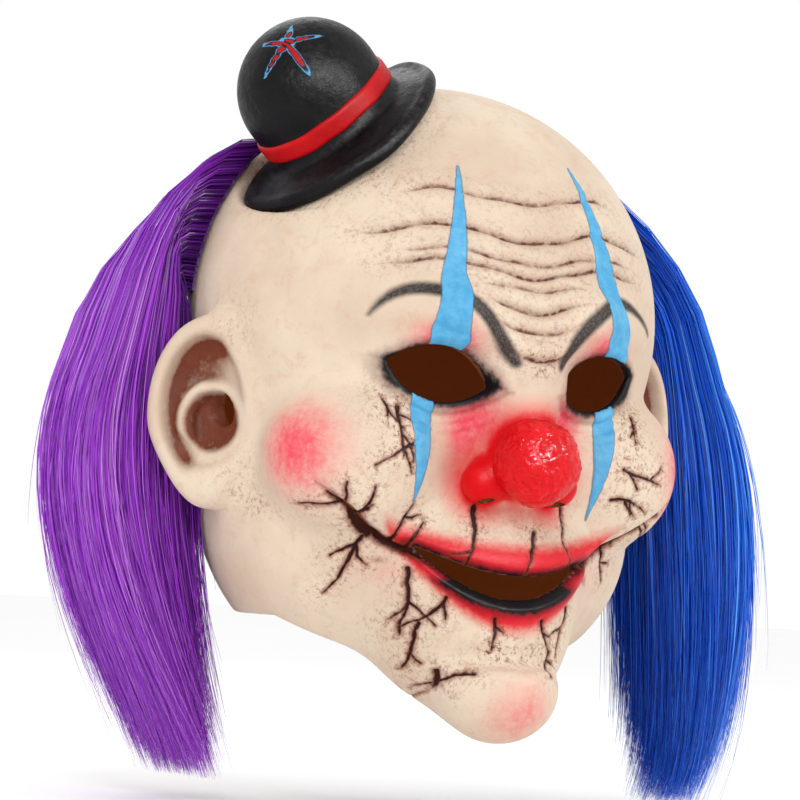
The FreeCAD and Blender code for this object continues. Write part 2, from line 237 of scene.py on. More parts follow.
def ear_field(p):
    """A flared ear: a plate with a rolled rim, a hollow inside it and a cup round the ear hole."""
    e = ear_frame(p)
    out, back, up = e[..., 0], e[..., 1], e[..., 2]
    narrow = 1 + 0.25 * smooth_step(-up, 5, 40)
    q = np.stack([out, (back + 2) * narrow, up], -1)
    plate = ellipsoid(q, (-2, 0, 0), (7, 25, 38))
    ring = np.hypot(q[..., 1] / 24.0, up / 35.5)
    fold = np.sqrt(((ring - 1) * 27) ** 2 + (out - 2.5) ** 2) - 5.2
    fold = fold + 3 * smooth_step(-q[..., 1], 8, 22)
    d = join(plate, fold, 5)
    inner_ring = np.hypot((q[..., 1] + 3) / 14.0, (up + 5) / 15.5)
    anti = np.sqrt(((inner_ring - 1) * 15) ** 2 + (out - 1.0) ** 2) - 4.2
    anti = anti + 7 * smooth_step(-q[..., 1], -4, 10) + 4 * smooth_step(-up, 8, 18)
    d = carve(d, ellipsoid(q, (6, 1, 3), (9, 19.5, 29.5)), 4)
    d = join(d, anti, 4)
    d = carve(d, ellipsoid(q, (5, -6, -4), (9, 11, 12)), 4)
    return join(d, ellipsoid(q, (0, -4, -29), (6.5, 12, 11)), 8)


# The flat seat under the hat, in the hat's own directions, and the cut that clears the brim.
SEAT_Z, SEAT_R, SEAT_H, SEAT_CUT_R = -9.5, 44.0, 14.0, 54.0


def fine_head(p):
    """The outside of the casting, with brows, lids, nose wings, ears and the seat for the hat."""
    q = mirrored(p)
    d = base_head(p)
    d = join(d, capsule(q, (6, -92, 26), (30, -88, 44), 9, 9), 12)
    d = join(d, capsule(q, (30, -88, 44), (64, -66, 42), 9, 7), 12)
    d = carve(d, ellipsoid(q, (41, -95, 15), (26, 17, 17)), 9)
    d = join(d, ellipsoid(p, (0, -86, -2), (15, 18, 28)), 14)
    d = join(d, capsule(q, (0, -88, -20), (18, -88, -29), 13, 9.5), 6)
    rim = np.sqrt(np.maximum(eye_plane(p) - 1.5, 0) ** 2 + (d + 0.5) ** 2) - 2.6
    front = smooth_step(-p[..., 1], 20, 40)
    d = join(d, rim + 30 * (1 - front), 5)
    d = carve(d, capsule(q, (0, -98, -104), (24, -86, -106), 5, 3), 8)
    under_hat = (p - HAT) @ HAT_FRAME
    aside, above = np.hypot(under_hat[..., 0], under_hat[..., 1]), under_hat[..., 2] - SEAT_Z
    d = join(d, np.maximum(np.maximum(aside - SEAT_R, above), -SEAT_H - above), 6)
    d = carve(d, np.maximum(aside - SEAT_CUT_R, -above), 5)
    return join(d, ear_field(p), 9)


WALL = 3.0
NOSTRIL = ((18, -92, -44), (17, -89, -31), 3.2, 3.0)
EAR_HOLE, EAR_HOLE_RADII = (104, 2, -2), (26, 6, 7.5)


def casting(p):
    """The whole hollow skin with every opening cut."""
    q = mirrored(p)
    front = p[..., 1] + 40
    fine = fine_head(p)
    d = np.maximum(fine, -np.maximum(base_head(p), fine) - WALL)
    d = carve(d, np.maximum(eye_plane(p), front), 1.6)
    d = carve(d, np.maximum(mouth_plane(p), front), 1.6)
    d = carve(d, -neck_edge(p), 1.6)
    d = carve(d, ellipsoid(q, EAR_HOLE, EAR_HOLE_RADII), 1.5)
    return carve(d, capsule(q, *NOSTRIL), 1.2)


MOST_AT_ONCE = 400000


def surface_net(field, low, high, step):
    """Quads on the zero level of a field, found on a grid that is only filled in near the surface."""
    coarse = 5
    counts = [int(math.ceil((h - l) / (step * coarse))) for l, h in zip(low, high)]
    block = step * coarse
    axes = [l + block * (np.arange(n) + 0.5) for l, n in zip(low, counts)]
    centres = np.stack(np.meshgrid(*axes, indexing="ij"), -1)
    rough = field(centres)
    near = np.abs(rough) < block * 1.3 + 4
    shape = [n * coarse for n in counts]
    values = np.repeat(np.repeat(np.repeat(rough, coarse, 0), coarse, 1), coarse, 2).astype(np.float32)
    wanted = np.repeat(np.repeat(np.repeat(near, coarse, 0), coarse, 1), coarse, 2)
    index = np.argwhere(wanted)
    base = np.asarray(low) + step * 0.5
    for part in np.array_split(np.arange(len(index)), max(1, len(index) // MOST_AT_ONCE)):
        i = index[part]
        values[i[:, 0], i[:, 1], i[:, 2]] = field(base + i * step)
    inside = values < 0
    n = np.array(shape) - 1
    total = np.zeros(n, dtype=np.int8)
    corners = [(a, b, c) for a in (0, 1) for b in (0, 1) for c in (0, 1)]
    for a, b, c in corners:
        total += inside[a:a + n[0], b:b + n[1], c:c + n[2]]
    cells = np.argwhere((total > 0) & (total < 8))
    number = np.full(n, -1, dtype=np.int64)
    number[tuple(cells.T)] = np.arange(len(cells))
    at = {c: values[cells[:, 0] + c[0], cells[:, 1] + c[1], cells[:, 2] + c[2]] for c in corners}
    place, hits = np.zeros((len(cells), 3)), np.zeros(len(cells))
    for c in corners:
        for axis in range(3):
            if c[axis] == 0:
                other = tuple(1 if k == axis else c[k] for k in range(3))
                va, vb = at[c], at[other]
                cross = (va < 0) != (vb < 0)
                t = np.where(cross, va / np.where(cross, va - vb, 1), 0)
                point = np.tile(np.array(c, dtype=float), (len(cells), 1))
                point[:, axis] = t
                place += point * cross[:, None]
                hits += cross
    verts = base + (cells + place / hits[:, None]) * step
    faces = []
    for axis in range(3):
        u, v = (axis + 1) % 3, (axis + 2) % 3
        first = [slice(1, n[k]) for k in range(3)]
        first[axis] = slice(0, n[axis])
        second = list(first)
        second[axis] = slice(1, n[axis] + 1)
        here, there = inside[tuple(first)], inside[tuple(second)]
        spots = np.argwhere(here != there)
        flip = here[tuple(spots.T)]
        spots = spots + np.array([0 if k == axis else 1 for k in range(3)])
        ring = []
        for du, dv in ((-1, -1), (0, -1), (0, 0), (-1, 0)):
            move = np.zeros(3, dtype=int)
            move[u], move[v] = du, dv
            ring.append(number[tuple((spots + move).T)])
        quad = np.stack(ring, 1)
        quad[~flip] = quad[~flip][:, ::-1]
        faces.append(quad)
    return verts, np.concatenate(faces)


def gradient(field, p, h=0.4):
    g = np.stack([field(p + np.eye(3)[k] * h) - field(p - np.eye(3)[k] * h) for k in range(3)], -1)
    return g / (np.linalg.norm(g, axis=-1, keepdims=True) + 1e-9)


# ---------------------------------------------------------------- lines drawn on the face, as (x, z)
def line_distance(x, z, points, widths=None):
    """Signed distance to a polyline, less its half width there; the sign only tells the side."""
    best = np.full(x.shape, 1e3)
    side = np.ones(x.shape)
    for n, ((ax, az), (bx, bz)) in enumerate(zip(points, points[1:])):
        ex, ez = bx - ax, bz - az
        t = np.clip(((x - ax) * ex + (z - az) * ez) / (ex * ex + ez * ez), 0, 1)
        dist = np.hypot(x - ax - t * ex, z - az - t * ez)
        if widths is not None:
            dist = dist - (widths[n] + (widths[n + 1] - widths[n]) * t)
        closer = dist < best
        best = np.where(closer, dist, best)
        side = np.where(closer, np.sign(ex * (z - az) - ez * (x - ax)), side)
    return best, side


def wander(start, heading, length, width, branches=0):
    """A crack that wanders from its start, thinning, with side branches, as a list of (points, widths)."""
    steps = max(4, int(length / 3.0))
    x, z = start
    angle = math.radians(heading)
    points, widths = [(x, z)], [width]
    for i in range(steps):
        angle += rng.normal(0, 0.34)
        angle += (math.radians(heading) - angle) * 0.35
        x += math.cos(angle) * length / steps
        z += math.sin(angle) * length / steps
        points.append((x, z))
        widths.append(width * (1 - (i + 1) / steps) + 0.12)
    cracks = [(points, widths)]
    for _ in range(branches):
        k = int(rng.integers(1, max(2, steps - 1)))
        turn = rng.choice([-1, 1]) * rng.uniform(35, 65)
        cracks += wander(points[k], heading + turn, length * rng.uniform(0.3, 0.5), widths[k] * 0.75)
    return cracks


# Start (x, z), heading in degrees from +X towards +Z, length, half width, branches.
CRACK_SEEDS = (
    # from the grin's ends, up the cheeks
    ((-60, -55), 150, 30, 1.9, 2), ((-68, -51), 100, 18, 1.3, 1), ((-62, -56), 255, 26, 1.2, 2),
    ((62, -53), 35, 26, 1.5, 2), ((58, -56), 300, 16, 0.9, 1),
    ((-52, -58), 68, 19, 1.0, 1), ((-46, -60), 62, 14, 0.8, 0),
    # upper lip, from the nose down
    ((-19, -40), 262, 26, 1.3, 1), ((8, -50), 270, 19, 1.1, 0), ((27, -38), 268, 26, 0.6, 0),
    # lower lip, down to the chin
    ((-44, -68), 280, 30, 0.9, 2), ((-30, -80), 235, 20, 0.8, 1), ((-38, -92), 270, 20, 0.8, 1),
    ((-10, -88), 275, 14, 0.8, 1), ((13, -88), 290, 16, 1.0, 1), ((30, -82), 275, 22, 0.8, 1),
    ((22, -102), 250, 12, 0.7, 1), ((-30, -112), 268, 22, 0.9, 1), ((-20, -112), 230, 15, 0.7, 0),
    # under the eyes
    ((-56, 2), 268, 22, 1.1, 2), ((-48, -12), 225, 24, 0.9, 2), ((-62, 5), 290, 14, 0.7, 1),
    ((54, -20), 350, 22, 0.8, 2), ((50, -34), 345, 20, 0.9, 2), ((62, 4), 280, 12, 0.7, 1),
)
cracks = [(points, [0.6 * w for w in widths]) for seed in CRACK_SEEDS for points, widths in wander(*seed)]
for hand in (-1, 1):
    spread = np.linspace(40, 80, 12)
    wobble = rng.normal(0, 0.5, 12)
    along_grin = [(hand * s, grin(s) + w) for s, w in zip(spread, wobble)]
    cracks.append((along_grin, list(np.linspace(1.2, 0.4, 12))))


def furrow(height, half, dip, lift, shift=0.0):
    """A forehead furrow: it dips over the nose, rises above each eye and drops at the temples."""
    xs = np.linspace(-half, half, 25)
    zs = height - dip * np.exp(-(xs / 24) ** 2) + lift * np.exp(-((np.abs(xs) - 40) / 15) ** 2)
    zs = zs + 0.5 * np.sin(xs * 0.23 + height) - 0.0011 * xs ** 2
    return [(x + shift, z) for x, z in zip(xs, zs)]


FURROWS = (
    (furrow(98, 56, 4, 3), 1.4), (furrow(82, 72, 6, 3), 1.8), (furrow(72, 58, 6, 2), 1.3),
    (furrow(68, 66, 8, 1), 1.7), (furrow(60, 28, 5, 0), 1.2), (furrow(54, 27, 9, 4), 1.8),
    (furrow(46, 23, 10, 5), 1.5), (furrow(36, 9, 3, 2, 4), 1.0),
    (((-17, 29), (-9, 25.5), (0, 24), (9, 25.5), (17, 29)), 2.3),
)


def stripe(x, z, points, widths):
    """Distance outside a brush stroke that runs smoothly through its points."""
    knots = np.arange(len(points))
    fine = np.linspace(0, len(points) - 1, 5 * len(points))
    at_knots = (*np.array(points, dtype=float).T, widths)
    px, pz, half = (np.polyval(np.polyfit(knots, values, 4), fine) for values in at_knots)
    return line_distance(x, z, list(zip(px, pz)), list(np.maximum(half, 0.1)))[0]


# Painted strokes: where each runs, as (x, z), and its half width at each of those places.
STRIPES = (
    (((-27, 109), (-31, 91), (-33.5, 74), (-36, 61), (-38.5, 50), (-39.5, 40), (-38.5, 31)),
     (0.3, 2.0, 3.6, 4.6, 5.2, 6.2, 7.6)),
    (((31, 113), (35, 96), (38, 80), (41, 64), (43, 53), (46, 42), (48, 32)),
     (0.3, 2.2, 4.0, 5.6, 7.0, 8.0, 7.6)),
    (((-45, 6), (-45.5, -6), (-46, -18), (-46.5, -31), (-46.5, -39)), (4.8, 4.7, 3.6, 1.6, 0.3)),
    (((46, 4), (45, -8), (43.5, -20), (42, -33), (41, -43)), (5.0, 4.6, 3.2, 1.4, 0.3)),
)
BROW = (
    ((11, 23), (18, 33), (26, 42), (36, 50), (48, 54), (60, 50), (70, 41)),
    (2.0, 2.8, 2.9, 2.9, 2.6, 1.7, 0.3),
)


def refine(points, quads, wanted):
    """Splits in four every quad whose corners are all wanted; its neighbours take in the new edge points."""
    split = wanted[quads].all(1)
    edges = np.stack([quads, np.roll(quads, -1, 1)], -1)
    keys = edges.min(-1).astype(np.int64) * len(points) + edges.max(-1)
    used = np.unique(keys[split])
    middles = (points[used // len(points)] + points[used % len(points)]) / 2
    centres = points[quads[split]].mean(1)
    middle = len(points) + np.searchsorted(used, keys).clip(0, len(used) - 1)
    cut_edge = used[middle - len(points)] == keys
    centre = len(points) + len(used) + np.arange(len(centres))
    old, mid = quads[split], middle[split]
    small = [np.stack([old[:, k], mid[:, k], centre, mid[:, k - 1]], 1) for k in range(4)]
    touched = ~split & cut_edge.any(1)
    joined = [
        [v for k in range(4) for v in ((quad[k], halves[k]) if has[k] else (quad[k],))]
        for quad, halves, has in zip(quads[touched], middle[touched], cut_edge[touched])
    ]
    untouched = quads[~split & ~touched].tolist()
    return np.concatenate([points, middles, centres]), untouched + np.concatenate(small).tolist() + joined


def on_face(points):
    """The painted front of the outer skin, where fine lines are drawn."""
    return (points[:, 1] < -25) & (np.abs(fine_head(points)) < 0.8)


# ---------------------------------------------------------------- the skin
SKIN_BOX = (-138, -136, -156), (138, 140, 160)
step = 1.25
verts, quads = surface_net(casting, *SKIN_BOX, step)
for _ in range(2):
    verts -= gradient(casting, verts) * casting(verts)[:, None]
verts, faces = refine(verts, quads, on_face(verts))
verts -= gradient(casting, verts) * casting(verts)[:, None]
skin = new_object("latex_skin", verts, faces)
outer = np.abs(fine_head(verts)) < 0.6
normal = gradient(fine_head, verts)
toward_front = smooth_step(-normal[:, 1], 0.02, 0.3) * smooth_step(-verts[:, 1], 0, 20)
facing = toward_front * outer
x, z = verts[:, 0], verts[:, 2]

crack = np.full(len(x), 30.0)
for points, widths in cracks:
    crack = np.minimum(crack, line_distance(x, z, points, widths)[0])
blue = np.min([stripe(x, z, *s) for s in STRIPES], axis=0)
wrinkle, strength = np.full(len(x), 30.0), np.zeros(len(x))
relief = np.zeros(len(x))
for points, depth in FURROWS:
    d, side = line_distance(x, z, points)
    ends = smooth_step(np.abs(x), abs(points[0][0]) + 1, abs(points[0][0]) - 14)
    above = d * side
    broken = 0.7 + 0.4 * np.sin(x * 0.31 + 2.1 * depth * points[0][0]) * np.sin(x * 0.13 + points[3][1])
    shallow = 0.3 + 0.7 * smooth_step(blue, -1, 3)
    fold = -1.1 * bump(d, 1.0) + 0.7 * bump(above - 4, 3.6) + 0.35 * bump(above + 5, 4.5)
    relief += shallow * ends * depth * fold
    strength = np.where(d < wrinkle, ends * depth * broken, strength)
    wrinkle = np.where(d < wrinkle, d, wrinkle)
brow = stripe(np.abs(x), z, *BROW)
eye = eye_plane(verts)
mouth = mouth_plane(verts)
lip_top = -57 + 0.003 * x ** 2
lip_low = -93 + 0.0145 * x ** 2
lips = np.maximum(np.maximum(z - lip_top, lip_low - z) * 0.85, (np.abs(x) - 58) * 0.8)
line = z - grin(x)
beyond = smooth_step(np.abs(x - MOUTH_X), 32, 42)
front_line = smooth_step(np.abs(x), 90, 82) * smooth_step(verts[:, 1], -22, -34)

relief -= 1.1 * smooth_step(-crack, -0.6, 0.5) + 0.3 * bump(crack, 1.6)
relief += 0.45 * smooth_step(-blue, -0.3, 0.4)
lip_swell = smooth_step(-lips, -2, 6)
relief += lip_swell * np.where(line > 0, 2.2, 3.4) * smooth_step(mouth, 0, 4)
relief -= 2.4 * bump(line, 2.6) * beyond * front_line
relief += 1.5 * bump(line - 8, 7) * beyond * front_line
under = np.abs(x) - 38
for drop, depth in ((6, 0.8), (10, 0.6), (14, 0.4)):
    relief -= depth * bump(eye - drop, 1.2) * (z < 10) * smooth_step(np.abs(under), 34, 18)
relief = np.where(outer, relief, np.minimum(relief, 0))
wing = np.linalg.norm(mirrored(verts) - [18, -88, -29], axis=1)
cavity = ~outer & ((base_head(verts) < -1.2) | (wing < 21))
nostril = capsule(mirrored(verts), *NOSTRIL)
verts += normal * (relief * toward_front)[:, None]
set_positions(skin.data, verts)

ears = ear_frame(verts)
in_ear = smooth_step(ear_field(verts), 5.5, 1) * outer
# One on the line of the ear's groove, and one on the edge of its cup.
ear_ring = np.hypot((ears[:, 1] + 2) / 18.0, (ears[:, 2] - 2) / 28.0)
ear_cup = np.hypot((ears[:, 1] + 4) / 13.0, (ears[:, 2] + 5) / 13.8)
groove = 1.1 * bump((ear_ring - 0.98) * 18, 2.6) * smooth_step(ears[:, 1] + 0.3 * ears[:, 2], -8, 2)
basin = 0.9 * smooth_step(ear_ring, 1.1, 0.92) * smooth_step(ear_cup, 1.2, 1.5)
basin *= 0.35 + 0.65 * smooth_step(ears[:, 2], -8, 8)
ear_front = ear_frame(verts + normal)[:, 0] - ears[:, 0] > 0.1
near_ear = (np.abs(verts[:, 0]) > 78) & (ears[:, 0] > -9)
cup_shade = near_ear * 1.15 * smooth_step(ear_cup, 1.1, 0.8)
# The ear's groove, its hollow and the cup round the ear hole are darkened brown: painted shade in these
# recesses.
ear_shade = np.maximum(in_ear * ear_front * (groove + basin), cup_shade)
ball = np.linalg.norm(verts - [0, -100, -20], axis=1)
fold_u = (np.abs(x) - EYE[0]) * math.cos(EYE_TILT) + (z - EYE[2]) * math.sin(EYE_TILT)
fold_v = (z - EYE[2]) * math.cos(EYE_TILT) - (np.abs(x) - EYE[0]) * math.sin(EYE_TILT)
kohl = 0.2 + 1.3 * smooth_step(-fold_v, 0, 9) + 1.7 * smooth_step(fold_u, 8, 22) * smooth_step(-fold_v, -8, 2)
kohl += 0.7 * smooth_step(-fold_u, 14, 23)

store(skin.data, "crack", np.where(facing > 0, crack + 2 * (1 - facing), 30))
store(skin.data, "wrinkle", np.where(facing > 0, wrinkle, 30))
store(skin.data, "wrinkle_depth", strength)
store(skin.data, "blue", np.where(facing > 0, blue, 30))
store(skin.data, "brow", np.where(facing > 0, brow, 30))
store(skin.data, "eye", np.where(verts[:, 1] < -20, eye, 60))
store(skin.data, "kohl", np.where(verts[:, 1] < -20, eye - kohl, 60))
store(skin.data, "inner_lip", np.where(verts[:, 1] < -20, mouth - 0.8 - 4.6 * smooth_step(-line, 4, 9), 60))
store(skin.data, "mouth", np.where(verts[:, 1] < -20, mouth, 60))
store(skin.data, "lips", np.where(facing > 0, lips, 30))
grin_line = np.abs(line) - 2.6 * smooth_step(np.abs(x), 90, 44)
store(skin.data, "grin", np.where((facing > 0) & (front_line > 0.05), grin_line, 30))
store(skin.data, "nose", np.where(outer, np.minimum(ball - 21, wing - 12), 60))
store(skin.data, "ear_shade", ear_shade)
store(skin.data, "cavity", cavity)
store(skin.data, "nostril", nostril)

pink = 1.0 * bump(np.linalg.norm((mirrored(verts) - [88, -55, -19]) * [0.85, 0.85, 0.95], axis=1), 20)
pink += 0.85 * bump(np.hypot((np.abs(x) - 40) * 0.7, z - 31), 11) * facing
pink += 0.95 * bump(np.hypot(np.abs(x) - 23, (z + 4) * 0.62), 12) * facing
pink += 0.14 * bump(wrinkle, 4) * facing * smooth_step(np.abs(x), 60, 40)
pink += 0.35 * bump(np.hypot(x, (z + 132) * 1.0), 20) * facing
pink += 0.3 * bump(np.hypot(np.abs(x) - 48, (z + 68) * 1.2), 17) * facing
pink += 0.24 * bump(np.linalg.norm(verts - [2, -100, -126], axis=1), 17)
store(skin.data, "pink", pink)
# Brown darkening: dirt specks along the cracks, and painted shade in the hollows under the brows, eyes, nose
# and lower lip, along the furrows and beside the ears.
grime_and_shade = 0.9 * bump(np.hypot(x * 0.75, (z - 23 - 0.02 * x ** 2) * 1.6), 9) * facing
grime_and_shade += 1.3 * bump(np.hypot(x * 0.5, (z + 103) * 1.5), 8) * facing
grime_and_shade += 0.5 * bump(np.hypot(np.abs(x) - 56, z + 5), 18) * facing
grime_and_shade += 0.35 * bump(np.hypot(x * 0.7, z + 48), 10) * facing
grime_and_shade += 0.45 * bump(wrinkle, 7) * facing
grime_and_shade += 0.8 * bump(crack, 6) * facing
grime_and_shade += 0.5 * bump(np.linalg.norm(mirrored(verts) - [98, -6, 36], axis=1), 15)
grime_and_shade += 0.5 * bump(np.linalg.norm(mirrored(verts) - [100, -12, -34], axis=1), 14)
# Painted shadow on the skin just under the hat's brim.
below_brim = (verts - HAT) @ HAT_FRAME
past_brim = np.hypot(below_brim[:, 0], below_brim[:, 1]) - 50
grime_and_shade += 0.9 * bump(np.hypot(past_brim, (below_brim[:, 2] + 9) * 0.8), 8)
store(skin.data, "grime_and_shade", grime_and_shade)


# ---------------------------------------------------------------- material tools
class Nodes:
    """Short names for building a shader."""

    def __init__(self, name):
        self.material = bpy.data.materials.new(name)
        self.material.use_nodes = True
        self.tree = self.material.node_tree
        self.shader = self.tree.nodes["Principled BSDF"]
        self.place = None

    def add(self, kind, **settings):
        node = self.tree.nodes.new(kind)
        for key, value in settings.items():
            setattr(node, key, value)
        return node

    def link(self, source, target):
        self.tree.links.new(source, target)

    def feed(self, socket, value):
        if hasattr(value, "is_linked") or hasattr(value, "links"):
            self.link(value, socket)
        else:
            socket.default_value = value

    def attribute(self, name):
        return self.add("ShaderNodeAttribute", attribute_name=name).outputs["Fac"]

    def where(self):
        if self.place is None:
            self.place = self.add("ShaderNodeTexCoord").outputs["Object"]
        return self.place

    def noise(self, per_metre, detail=4.0, rough=0.55, distortion=0.0, stretch=None):
        node = self.add("ShaderNodeTexNoise")
        vector = self.where()
        if stretch:
            mapping = self.add("ShaderNodeMapping")
            mapping.inputs["Scale"].default_value = stretch
            self.link(vector, mapping.inputs["Vector"])
            vector = mapping.outputs["Vector"]
        self.link(vector, node.inputs["Vector"])
        node.inputs["Scale"].default_value = per_metre
        node.inputs["Detail"].default_value = detail
        node.inputs["Roughness"].default_value = rough
        node.inputs["Distortion"].default_value = distortion
        return node.outputs["Fac"]

    def math(self, operation, a, b=0.0, clamp=False):
        node = self.add("ShaderNodeMath", operation=operation, use_clamp=clamp)
        self.feed(node.inputs[0], a)
        self.feed(node.inputs[1], b)
        return node.outputs[0]

    def span(self, value, low, high, to_low=0.0, to_high=1.0):
        node = self.add("ShaderNodeMapRange", interpolation_type="SMOOTHSTEP")
        self.feed(node.inputs[0], value)
        for i, number in enumerate((low, high, to_low, to_high), start=1):
            node.inputs[i].default_value = number
        return node.outputs[0]

    def mix(self, amount, a, b, kind="MIX"):
        node = self.add("ShaderNodeMix", data_type="RGBA", blend_type=kind)
        self.feed(node.inputs[0], amount)
        self.feed(node.inputs[6], a)
        self.feed(node.inputs[7], b)
        return node.outputs[2]

    def bump(self, height, distance, strength=1.0, before=None):
        node = self.add("ShaderNodeBump")
        node.inputs["Strength"].default_value = strength
        node.inputs["Distance"].default_value = distance
        self.link(height, node.inputs["Height"])
        if before is not None:
            self.link(before, node.inputs["Normal"])
        return node.outputs["Normal"]

    def finish(self, colour, rough, normal=None):
        self.feed(self.shader.inputs["Base Color"], colour)
        self.feed(self.shader.inputs["Roughness"], rough)
        if normal is not None:
            self.link(normal, self.shader.inputs["Normal"])
        return self.material


def wear(obj, material):
    obj.data.materials.clear()
    obj.data.materials.append(material)


# ---------------------------------------------------------------- skin material
def skin_material():
    n = Nodes("airbrushed_latex")
    broad, fine = n.noise(18, 3), n.noise(260, 5, 0.7)
    speck, fibre = n.noise(620, 4, 0.75), n.noise(120, 6, 0.75, 0.6)
    jitter = n.math("MULTIPLY", n.math("SUBTRACT", n.noise(330, 3, 0.6), 0.5), 2.2)

    def inside(name, edge, soft, ragged=1.0):
        """One where the painted shape is, with a ragged or an airbrushed edge."""
        value = n.math("ADD", n.attribute(name), n.math("MULTIPLY", jitter, ragged))
        return n.span(value, edge + soft, edge - soft)

    colour = n.mix(n.span(broad, 0.35, 0.7), rgb(222, 204, 182), rgb(210, 187, 165))
    colour = n.mix(n.math("MULTIPLY", n.span(fibre, 0.48, 0.72), 0.5), colour, rgb(206, 170, 142))
    flecks = n.math("MULTIPLY", n.span(speck, 0.65, 0.73), 0.5)
    colour = n.mix(flecks, colour, rgb(150, 92, 62))
    pink = n.math("MULTIPLY", n.attribute("pink"), n.span(fine, 0.2, 0.75, 0.7, 1.15))
    colour = n.mix(n.span(pink, 0.05, 1.0, 0.0, 0.92), colour, rgb(232, 52, 84))
    # Brown dirt along the cracks, and painted shade in the hollows and under the hat's brim.
    dirt_and_shade = n.math("MULTIPLY", n.attribute("grime_and_shade"), n.span(n.noise(420, 7, 0.85), 0.5, 0.6))
    colour = n.mix(n.math("MULTIPLY", dirt_and_shade, 0.85), colour, rgb(120, 56, 34))
    colour = n.mix(n.math("MULTIPLY", inside("nose", 5, 7, 1.2), 0.8), colour, rgb(222, 20, 40))
    colour = n.mix(inside("nose", 1.0, 2.5, 0.8), colour, rgb(212, 4, 16))
    colour = n.mix(n.math("MULTIPLY", inside("lips", 0.5, 3.6, 1.4), 0.97), colour, rgb(216, 6, 36))
    colour = n.mix(n.math("MULTIPLY", inside("grin", 0.4, 1.6, 0.8), 0.7), colour, rgb(130, 14, 22))
    colour = n.mix(n.math("MULTIPLY", inside("grin", -0.9, 0.9, 0.6), 0.96), colour, rgb(24, 13, 13))
    colour = n.mix(n.math("MULTIPLY", inside("inner_lip", 2.4, 2.4, 1.0), 0.75), colour, rgb(92, 4, 16))
    colour = n.mix(inside("inner_lip", 0.2, 1.0, 1.9), colour, rgb(18, 13, 15))
    colour = n.mix(n.math("MULTIPLY", inside("kohl", 3.6, 3.4, 1.8), 0.5), colour, rgb(92, 34, 40))
    colour = n.mix(inside("kohl", 0.9, 1.3, 1.4), colour, rgb(20, 16, 18))
    hairs = n.span(n.noise(900, 4, 0.7), 0.3, 0.62, 0.86, 0.98)
    colour = n.mix(n.math("MULTIPLY", inside("brow", 0.3, 1.5, 0.3), hairs), colour, rgb(32, 28, 31))
    # In each furrow a thin dark brown line and a softer darkening round it: painted shade in the crease.
    crease = n.math("MULTIPLY", inside("wrinkle", 0.45, 0.5, 1.1), n.attribute("wrinkle_depth"))
    colour = n.mix(n.math("MULTIPLY", crease, 0.8, True), colour, rgb(92, 40, 24))
    shade = n.math("MULTIPLY", inside("wrinkle", 2.5, 3.0, 1.0), n.attribute("wrinkle_depth"))
    colour = n.mix(n.math("MULTIPLY", shade, 0.17, True), colour, rgb(140, 92, 80))
    colour = n.mix(inside("crack", 1.1, 0.9, 1.3), colour, n.mix(0.6, colour, rgb(132, 54, 34)))
    colour = n.mix(inside("crack", 0.25, 0.35, 0.6), colour, rgb(52, 16, 9))
    paint = n.mix(n.span(n.noise(150, 5, 0.7), 0.35, 0.7), rgb(74, 158, 206), rgb(100, 178, 216))
    colour = n.mix(n.math("MULTIPLY", inside("blue", 0.4, 0.3, 0.45), 0.8), colour, rgb(44, 84, 112))
    colour = n.mix(inside("blue", 0.0, 0.3, 0.45), colour, paint)
    # Painted shade in the ear's recesses, in browns.
    ear = n.math("MULTIPLY", n.attribute("ear_shade"), n.span(n.noise(240, 5, 0.75), 0.2, 0.65, 0.75, 1.15))
    ear_brown = n.mix(fibre, rgb(80, 30, 16), rgb(134, 70, 48))
    colour = n.mix(n.math("MULTIPLY", ear, 0.92, True), colour, ear_brown)
    # Dark brown inside the nostril: painted shade in the hole.
    colour = n.mix(inside("nostril", 0.7, 0.5, 0.3), colour, rgb(58, 26, 12))
    colour = n.mix(n.attribute("cavity"), colour, n.mix(broad, rgb(118, 62, 26), rgb(104, 52, 20)))
    red = n.math("MAXIMUM", inside("nose", 0.5, 2.5, 0.8), inside("lips", 0.5, 3.0, 1.2))
    rough = n.math("SUBTRACT", n.span(fine, 0.3, 0.7, 0.5, 0.66), n.math("MULTIPLY", red, 0.2))
    pores = n.bump(n.noise(1500, 3, 0.6), 0.0002, 0.5)
    grain = n.bump(n.noise(360, 6, 0.7, 0.4), 0.0007, 0.5, pores)
    soft = n.bump(broad, 0.003, 0.35, grain)
    material = n.finish(colour, rough, soft)
    # The inside of the skin glows a dim brown: painted light, though nothing there is a lamp.
    n.link(n.math("MULTIPLY", n.attribute("cavity"), 0.45), n.shader.inputs["Emission Strength"])
    n.shader.inputs["Emission Color"].default_value = rgb(84, 38, 12)
    n.shader.inputs["Subsurface Weight"].default_value = 0.08
    n.shader.inputs["Subsurface Radius"].default_value = (0.006, 0.003, 0.002)
    n.shader.inputs["Subsurface Scale"].default_value = 0.5
    n.shader.inputs["Specular IOR Level"].default_value = 0.1
    return material


wear(skin, skin_material())
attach(skin, "head")
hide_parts("head_skin")


# ---------------------------------------------------------------- the nose ball
def lumps(p, cell, reach, count=420):
    """Rounded lumps: how near each point is to the nearest of many scattered centres."""
    k = np.arange(count) + 0.5
    phi, turn = np.arccos(1 - 2 * k / count), math.pi * (1 + 5 ** 0.5) * k
    centres = np.stack([np.cos(turn) * np.sin(phi), np.sin(turn) * np.sin(phi), np.cos(phi)], 1)
    centres += rng.normal(0, cell, centres.shape)
    d = np.sqrt(((p[:, None, :] - centres[None]) ** 2).sum(-1))
    return np.exp(-(np.sort(d, axis=1)[:, 0] / reach) ** 2)


